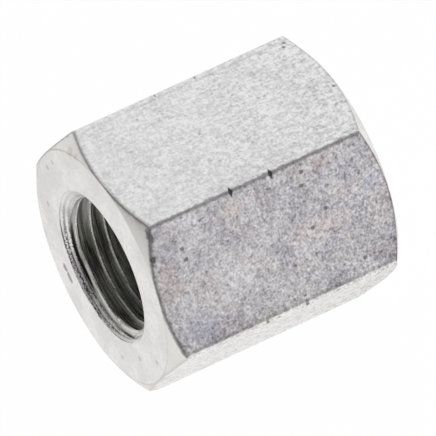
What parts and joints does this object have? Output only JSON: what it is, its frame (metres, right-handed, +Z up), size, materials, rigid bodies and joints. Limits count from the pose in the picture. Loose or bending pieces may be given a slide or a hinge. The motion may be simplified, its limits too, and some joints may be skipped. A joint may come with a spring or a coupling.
{
  "type": "female hex pipe plug",
  "caption": "Hexagonal zinc-plated steel plug with an internal pipe thread, screwed over the end of a pipe or a male fitting to close it.",
  "frame": {"origin": "on the plane that the plug lies on, under the middle of its length and of its width", "axes": "the threaded hole runs along Y and opens towards -Y, X runs across the corners of the hexagon, +Z is up from the flat that the plug lies on"},
  "size_m": [0.0182, 0.0168, 0.0159],
  "materials": {
    "zinc_plated_steel": "bright zinc plate over drawn flats and turned ends"
  },
  "bodies": {
    "root": {"hex_plug": "zinc_plated_steel"}
  },
  "joints": []
}
